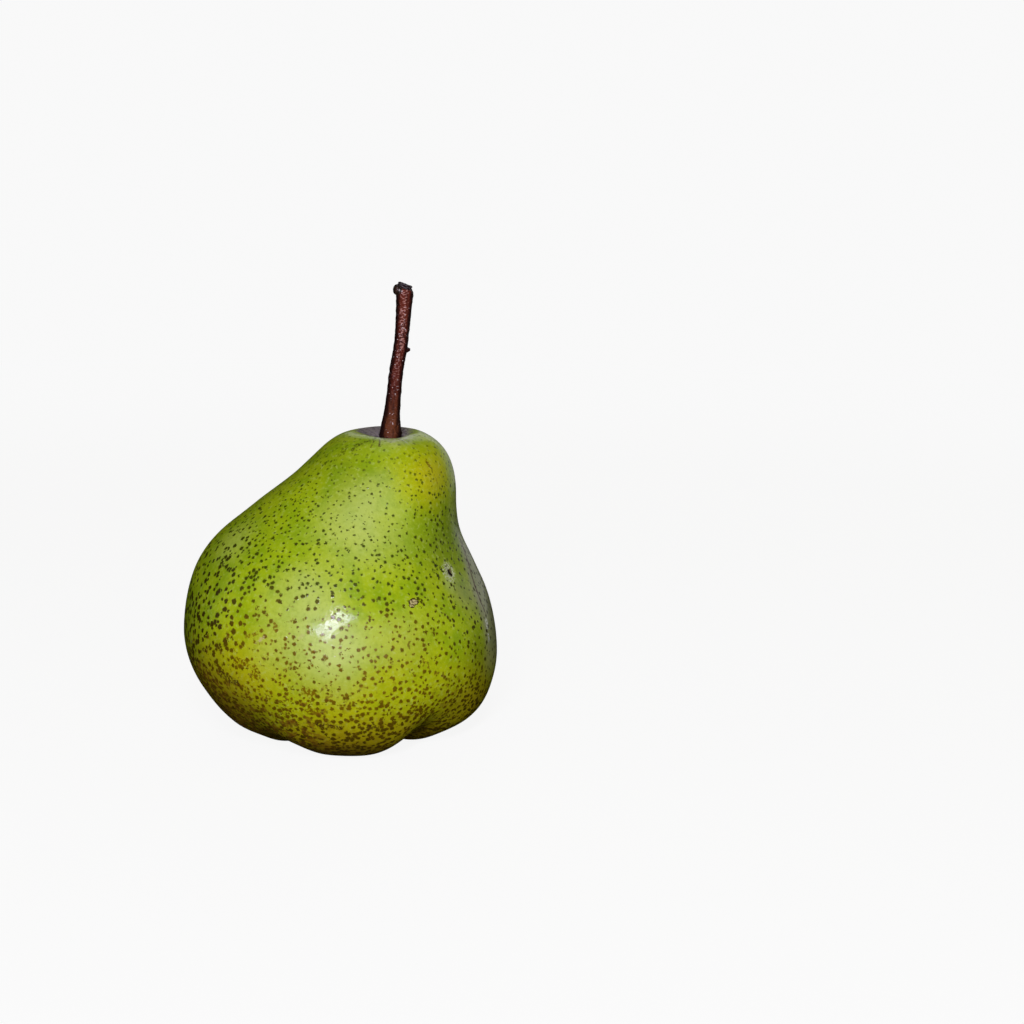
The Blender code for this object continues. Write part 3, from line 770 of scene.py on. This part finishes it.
for vertex in bark_mesh.verts:
    lump = BARK_LUMPS * noise.noise(vertex.co / BARK_LUMP_PITCH)
    wrinkle = BARK_WRINKLES * noise.noise(vertex.co / BARK_WRINKLE_PITCH)
    vertex.co += vertex.normal * (lump + wrinkle)
bark_mesh.to_mesh(stem.data)
bark_mesh.free()

FOOT_BARK = (0.105, 0.030, 0.010, 1)
BARK = (0.080, 0.013, 0.006, 1)
TOP_BARK = (0.105, 0.018, 0.008, 1)
BARK_GLINT = (0.44, 0.20, 0.14, 1)
BARK_DARK_AND_SHADE = (0.012, 0.004, 0.003, 1)
SCAR_GREY = (0.075, 0.062, 0.058, 1)
WAX_SPECK_AND_GLINT = (0.85, 0.72, 0.64, 1)
BARK_EDGE = (0.003, 0.004)
FOOT_BARK_HEIGHTS = (0.078, 0.090)
TOP_BARK_HEIGHTS = (0.096, 0.106)
SHINY_HEIGHTS = (0.084, 0.101)
STREAK_PITCH = 0.0010
STREAK_SQUEEZE = (1.0, 1.0, 0.22)  # draws the streaks out along the stalk
WRINKLE_PITCH = 0.00052
WRINKLE_SQUEEZE = (0.9, 0.9, 1.7)
WRINKLE_DEPTH = 0.00022
SHINE_DEPTH = 0.00035
SPECK_SPACING = 0.0006
SPECK_RADIUS = 0.00014
SPECK_EDGE = 0.00009
SPECK_SHARE = 0.13
SPECK_SQUEEZE = (1.0, 1.0, 1.5)
SCAR_EDGE = 0.0004
SCAR_EDGE_PITCH = 0.0008
SCAR_EDGE_REACH = 0.0006
DARK_BUD = (tuple(BUD), 0.0019)
DARK_LOBE = (tuple(LOBE), 0.0022)
PALE_CHIP = ((0.0145, 0.0002, 0.1118), 0.0010)

bark = Finish("stalk_bark")
up = bark.axis(bark.wandering(bark.place, *BARK_EDGE), "Z")
bark_colour = bark.mix(bark.ramp(up, *FOOT_BARK_HEIGHTS), FOOT_BARK, BARK)
bark_colour = bark.mix(bark.ramp(up, *TOP_BARK_HEIGHTS), bark_colour, TOP_BARK)
streaks = bark.noise(bark.stretched(bark.place, STREAK_SQUEEZE), STREAK_PITCH, detail=3.0)
bark_colour = bark.mix(bark.ramp(streaks, 0.54, 0.34, high=0.60), bark_colour, BARK_DARK_AND_SHADE)

# Painted glints: the crests of the wrinkles are painted pale and given a shiny coat, but not on the left and
# right sides, which get painted shade.
wrinkles = bark.noise(bark.stretched(bark.place, WRINKLE_SQUEEZE), WRINKLE_PITCH)
sides = bark.math("ABSOLUTE", bark.axis(bark.facing, "X"))
raised = bark.times(bark.ramp(wrinkles, 0.50, 0.61), bark.ramp(sides, 0.62, 0.22))
painted_glints = bark.times(raised, bark.ramp(up, *SHINY_HEIGHTS, 0.06, 0.80))
bark_colour = bark.mix(painted_glints, bark_colour, BARK_GLINT)
# Painted shade: the bark darkens where it faces left or right.
bark_colour = bark.mix(bark.ramp(sides, 0.35, 0.80, high=0.95), bark_colour, BARK_DARK_AND_SHADE)
# Pale specks: partly wax specks and partly painted glints, kept off the sides.
speck_place = bark.stretched(bark.place, SPECK_SQUEEZE)
specks = lenticels(bark, speck_place, SPECK_SPACING, SPECK_RADIUS, SPECK_EDGE, SPECK_SHARE)[0]
specks = bark.times(specks, bark.ramp(sides, 0.85, 0.60, high=0.8))
bark_colour = bark.mix(specks, bark_colour, WAX_SPECK_AND_GLINT)

# The scar is grey from its own leaning level upwards. The bud and the lobe are dark.
scar_level = bark.times(bark.axis(bark.place, "X"), math.sin(SCAR_LEAN))
scar_level = bark.add(bark.axis(bark.place, "Z"), scar_level)
scar_level = bark.add(scar_level, bark.times(bark.noise(bark.place, SCAR_EDGE_PITCH), SCAR_EDGE_REACH))
scar_start = SCAR_RINGS[1][2] + SCAR_RINGS[1][0] * math.sin(SCAR_LEAN)
on_scar = bark.ramp(scar_level, scar_start, scar_start + SCAR_EDGE)
scar_colour = bark.mix(bark.ramp(wrinkles, 0.4, 0.6), BARK_DARK_AND_SHADE, SCAR_GREY)
bark_colour = bark.mix(on_scar, bark_colour, scar_colour)
on_bud = bark.near(bark.place, *DARK_BUD)
bark_colour = bark.mix(bark.ramp(on_bud, 0.20, 0.55, high=0.8), bark_colour, BARK_DARK_AND_SHADE)
on_lobe = bark.near(bark.place, *DARK_LOBE)
bark_colour = bark.mix(bark.ramp(on_lobe, 0.15, 0.45, high=0.9), bark_colour, NEAR_BLACK)
chipped = bark.near(bark.place, *PALE_CHIP)
bark_colour = bark.mix(bark.ramp(chipped, 0.2, 0.5), bark_colour, WAX_SPECK_AND_GLINT)

shine = bark.times(bark.ramp(raised, 0.0, 0.8, 0.05, 0.65), bark.ramp(up, *SHINY_HEIGHTS, low=0.35))
bark.set(Base_Color=bark_colour, Roughness=0.55, Normal=bark.bump(wrinkles, WRINKLE_DEPTH))
bark.set(Specular_IOR_Level=0.03, Coat_Roughness=0.16, Coat_Normal=bark.bump(wrinkles, SHINE_DEPTH))
bark.set(Coat_Weight=shine)
dress(stem, bark)
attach(stem, "root")
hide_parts("stalk")


# ---- Dried flower --------------------------------------------------------------------------------
# Five withered sepals, what is left of the flower, stand round the mouth of the calyx pit. They are thin,
# brown and brittle, with curled edges and grey down, and they grew out of the wall of the pit.

SEPAL_NODES = [f"sepal_{number}" for number in range(1, 6)]
SEPAL_TWIST = 0.00055  # how far the tip wanders
SEPAL_TWIST_PITCH = 0.0045
SEPAL_CREASES = 0.00010
SEPAL_CREASE_PITCH = 0.0008
SEPAL_BROWN = (0.120, 0.050, 0.018, 1)
SEPAL_EDGE = (0.030, 0.014, 0.008, 1)
SEPAL_DOWN = (0.36, 0.30, 0.22, 1)
SEPAL_MOTTLE_PITCH = 0.0012
SEPAL_TIP_HEIGHTS = (0.0050, 0.0015)
DOWN_PITCH = 0.0003
DOWN_SQUEEZE = (1.0, 1.0, 0.3)
DOWN_DEPTH = 0.00008


def wither(piece, top, bottom):
    """Creases a leaf and makes it wander, the more the further it is from where it grew."""
    leaf = bmesh.new()
    leaf.from_mesh(piece.data)
    leaf.normal_update()
    for vertex in leaf.verts:
        down = max(0.0, (top - vertex.co.z) / (top - bottom))
        wander = noise.noise_vector(vertex.co / SEPAL_TWIST_PITCH) * SEPAL_TWIST * down**2
        crease = noise.noise(vertex.co / SEPAL_CREASE_PITCH) * SEPAL_CREASES
        vertex.co += vertex.normal * crease + Vector((wander.x, wander.y, 0))
    leaf.to_mesh(piece.data)
    leaf.free()


dried = Finish("dried_sepal")
mottled = dried.noise(dried.place, SEPAL_MOTTLE_PITCH, detail=4.0)
dried_colour = dried.mix(dried.ramp(mottled, 0.35, 0.65), SEPAL_EDGE, SEPAL_BROWN)
tips = dried.ramp(dried.axis(dried.place, "Z"), *SEPAL_TIP_HEIGHTS)
down_fibres = dried.noise(dried.stretched(dried.place, DOWN_SQUEEZE), DOWN_PITCH)
downy = dried.times(tips, dried.ramp(down_fibres, 0.42, 0.62))
dried_colour = dried.mix(dried.times(downy, 0.75), dried_colour, SEPAL_DOWN)
dried.set(Base_Color=dried_colour, Roughness=0.85, Specular_IOR_Level=0.2)
dried.set(Normal=dried.bump(down_fibres, DOWN_DEPTH))

for node in SEPAL_NODES:
    sepal_low, sepal_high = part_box(node)
    sepal = copy_of_node(node, node.replace("sepal", "dry_sepal"))
    subdivide(sepal, 2)
    wither(sepal, sepal_high.z, sepal_low.z)
    dress(sepal, dried)
    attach(sepal, "root")
    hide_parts(node)


# ---- Stamens -------------------------------------------------------------------------------------
# Inside the sepals is the tuft of dry stamens and styles: fine brown threads that rise from the bottom of
# the pit in a bunch, most of them with the shrivelled anther still on the end.

STAMENS = 22
THREAD_SIDES = 6
THREAD_RADIUS = 0.00013
ANTHER_RADIUS = 0.00030
THREAD_BROWN = (0.060, 0.030, 0.014, 1)
ANTHER_BROWN = (0.150, 0.095, 0.050, 1)
ANTHER_TOP = 0.0022  # above the bottom of the tuft
ANTHER_FULL = 0.0010
THREAD_GRAIN_PITCH = 0.0005
THREAD_GRAIN_DEPTH = 0.00005
SPIRAL_STEP = 2.4  # about the golden angle, in radians
TUFT_FILL = 0.62  # how far out the threads are rooted, as a share of the tuft's radius
MOST_LEAN = 0.07
SHORTEST = 0.82  # the shortest thread, as a share of the longest

tuft_low, tuft_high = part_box("stamen_tuft")
tuft_middle = (tuft_low + tuft_high) / 2
tuft_radius = (tuft_high.x - tuft_low.x) / 2
THREAD_RINGS = (
    (0, 0, tuft_high.z, THREAD_RADIUS),
    (0.00010, 0, tuft_high.z - 0.0022, THREAD_RADIUS),
    (0.00024, 0, tuft_high.z - 0.0043, 0.9 * THREAD_RADIUS),
    (0.00026, 0, tuft_low.z + 0.0009, 0.8 * THREAD_RADIUS),
    (0.00026, 0, tuft_low.z + 0.0006, ANTHER_RADIUS),
    (0.00022, 0, tuft_low.z + 0.0002, 0.8 * ANTHER_RADIUS),
    (0.00020, 0, tuft_low.z + 0.0001, 0.3 * ANTHER_RADIUS),
)
thread = pull_up(THREAD_RINGS, THREAD_SIDES, "thread")
close_up(thread)
subdivide(thread, 1)
luck = random.Random(5)
threads = [thread]
while len(threads) < STAMENS:
    copy = thread.copy()
    copy.data = thread.data.copy()
    bpy.context.scene.collection.objects.link(copy)
    threads.append(copy)
for number, copy in enumerate(threads):
    turn = SPIRAL_STEP * number
    out = TUFT_FILL * tuft_radius * math.sqrt((number + 0.5) / STAMENS)
    lean = Matrix.Rotation(luck.uniform(0.0, MOST_LEAN), 4, "Y")
    shorten = Matrix.Scale(luck.uniform(SHORTEST, 1.0), 4, (0, 0, 1))
    root = Vector((tuft_middle.x + out * math.cos(turn), tuft_middle.y + out * math.sin(turn), tuft_high.z))
    from_root = Matrix.Translation((0, 0, -tuft_high.z))
    planted = Matrix.Translation(root) @ Matrix.Rotation(turn, 4, "Z") @ lean @ shorten @ from_root
    copy.data.transform(planted)
tuft = join(threads, "stamens")

dusty = Finish("dried_stamen")
anthers = dusty.ramp(dusty.axis(dusty.place, "Z"), tuft_low.z + ANTHER_TOP, tuft_low.z + ANTHER_FULL)
thread_grain = dusty.noise(dusty.place, THREAD_GRAIN_PITCH, detail=3.0)
thread_colour = dusty.mix(anthers, THREAD_BROWN, ANTHER_BROWN)
thread_colour = dusty.mix(dusty.ramp(thread_grain, 0.55, 0.30, high=0.7), thread_colour, SEPAL_EDGE)
dusty.set(Base_Color=thread_colour, Roughness=0.9, Specular_IOR_Level=0.2)
dusty.set(Normal=dusty.bump(thread_grain, THREAD_GRAIN_DEPTH))
dress(tuft, dusty)
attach(tuft, "root")
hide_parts("stamen_tuft")


# ---- Studio --------------------------------------------------------------------------------------
# The pear stands on a plain pale floor that runs up into a pale backdrop, lit softly from the front.

CAMERA_DISTANCE = 0.500
CAMERA_RISE = math.radians(10.5)
CAMERA_TURN = math.radians(4.87)
CAMERA_AIM = Vector((0, 0, 0.0567))
SENSOR_WIDTH = 36  # in millimetres, as the focal length is
FOCAL_LENGTH = 70.3
KEY_COLOUR = (1.0, 0.98, 1.40)  # cool, so that the highlight stays white on the yellow-green skin
KEY_FROM = (-0.09, -0.91, 0.41)


def area_light(name, direction, distance, size, power, turn=0.0):
    """A flat light that shines on the middle of the pear, turned about its own axis."""
    light = bpy.data.lights.new(name, "AREA")
    light.shape = "RECTANGLE"
    light.size, light.size_y = size
    light.energy = power
    lamp = bpy.data.objects.new(name, light)
    bpy.context.scene.collection.objects.link(lamp)
    lamp.visible_camera = False
    outwards = Vector(direction).normalized()
    lamp.location = CAMERA_AIM + outwards * distance
    facing = outwards.to_track_quat("Z", "Y") @ Quaternion((0, 0, 1), turn)
    lamp.rotation_euler = facing.to_euler()
    return lamp


FLOOR_RADIUS = 2.2
RIM_STEPS = ((0.25, 0.03), (0.22, 0.10), (0.15, 0.18), (0.08, 0.24), (0.02, 0.30), (0.0, 2.5))  # out and up
PAPER_WHITE = 0.945
PAPER_BLUE = 0.78  # keeps the paper white under the cool key light
SHADOW_PAPER = 0.10  # how much of the lamps' light the floor shows near the pear, to catch its shadow
SHADOW_REACH = 0.9
PAPER_DIMMING = 0.50  # how far the paper's own glow is turned down where it catches the shadow

bpy.ops.object.select_all(action="DESELECT")
bpy.ops.mesh.primitive_circle_add(vertices=96, radius=FLOOR_RADIUS, fill_type="NGON")
floor = bpy.context.object
floor.name = "floor"
bpy.context.tool_settings.mesh_select_mode = (False, True, False)
bpy.ops.object.mode_set(mode="EDIT")
bpy.ops.mesh.select_all(action="SELECT")
rim_radius = FLOOR_RADIUS
for out, up in RIM_STEPS:
    grow = (rim_radius + out) / rim_radius
    bpy.ops.mesh.extrude_edges_move(TRANSFORM_OT_translate={"value": (0, 0, up)})
    bpy.ops.transform.resize(value=(grow, grow, 1), center_override=(0, 0, 0))
    rim_radius += out
bpy.ops.object.mode_set(mode="OBJECT")

paper = Finish("pale_paper")
near_pear = paper.near(paper.place, (0, 0, 0), SHADOW_REACH)
lit = paper.ramp(near_pear, 0.0, 0.8, high=SHADOW_PAPER)
lit_colour = paper.node("ShaderNodeCombineColor", {0: lit, 1: lit, 2: paper.times(lit, PAPER_BLUE)})
paper.set(Base_Color=lit_colour, Roughness=1.0, Specular_IOR_Level=0.0, Emission_Color=(1, 1, 1, 1))
paper.set(Emission_Strength=paper.less(PAPER_WHITE, paper.times(lit, PAPER_DIMMING)))
dress(floor, paper)
floor.visible_diffuse = False
floor.visible_glossy = False

key = area_light(
    "key", direction=KEY_FROM, distance=1.2, size=(0.11, 0.48), power=10.5, turn=math.radians(-44)
)
key.data.color = KEY_COLOUR
area_light("upper_front", direction=(0.02, -0.62, 0.78), distance=1.3, size=(0.5, 0.5), power=0.6)
area_light("low_front", direction=(0.14, -0.97, 0.13), distance=1.2, size=(1.5, 0.55), power=7.6)
area_light("overhead", direction=(-0.15, 0.10, 1.0), distance=1.2, size=(0.9, 0.9), power=0.55)
right_card = area_light(
    "right_card", direction=(0.50, 0.86, 0.12), distance=0.42, size=(0.36, 0.20), power=0.030
)
right_card.data.spread = math.radians(70)
area_light("back_fill", direction=(0.12, 0.90, 0.45), distance=1.3, size=(0.7, 0.7), power=2)
area_light("left_fill", direction=(-1.0, 0.10, 0.35), distance=1.4, size=(0.9, 0.9), power=0.7)
area_light("right_fill", direction=(1.0, 0.10, 0.35), distance=1.4, size=(0.9, 0.9), power=0.5)

world = bpy.data.worlds.new("studio")
bpy.context.scene.world = world
world.use_nodes = True
world.node_tree.nodes["Background"].inputs["Strength"].default_value = 0

lens = bpy.data.cameras.new("camera")
lens.sensor_width = SENSOR_WIDTH
lens.lens = FOCAL_LENGTH
camera = bpy.data.objects.new("camera", lens)
bpy.context.scene.collection.objects.link(camera)
camera_from = Vector((0, -math.cos(CAMERA_RISE), math.sin(CAMERA_RISE)))
camera.location = CAMERA_AIM + CAMERA_DISTANCE * camera_from
tilt = Matrix.Rotation(math.radians(90) - CAMERA_RISE, 4, "X") @ Matrix.Rotation(-CAMERA_TURN, 4, "Y")
camera.rotation_euler = tilt.to_euler()
bpy.context.scene.camera = camera
bpy.context.scene.view_settings.view_transform = "Standard"
